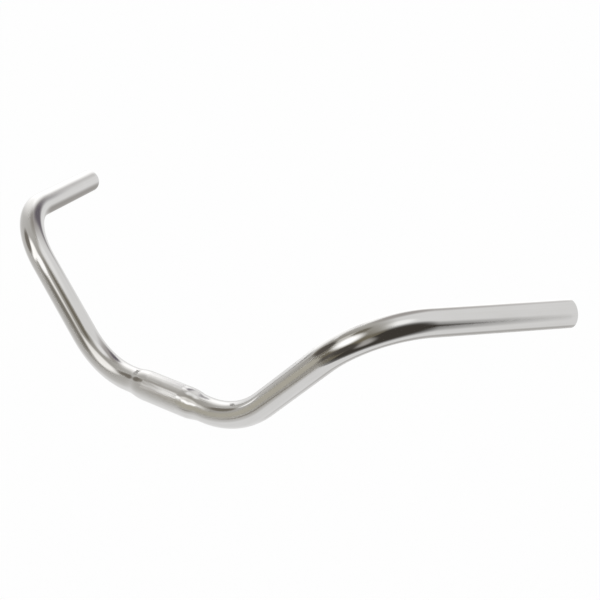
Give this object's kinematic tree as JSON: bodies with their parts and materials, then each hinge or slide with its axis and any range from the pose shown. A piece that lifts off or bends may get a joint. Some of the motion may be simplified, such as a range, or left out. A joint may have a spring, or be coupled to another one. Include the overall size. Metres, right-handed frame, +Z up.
{
  "type": "bicycle handlebar",
  "caption": "Swept-back upright bicycle handlebar of bent alloy tube, swaged up in the middle for a stem clamp and rising to level, open-ended grips.",
  "frame": {"origin": "middle of the stem clamp seat, on its axis", "axes": "+X along the clamp axis to the rider's right, +Y forward on the bicycle, +Z up; the grips lie level"},
  "size_m": [0.5866, 0.1684, 0.1372],
  "materials": {
    "polished_alloy": "polished"
  },
  "bodies": {
    "root": {"handlebar": "polished_alloy"}
  },
  "joints": []
}
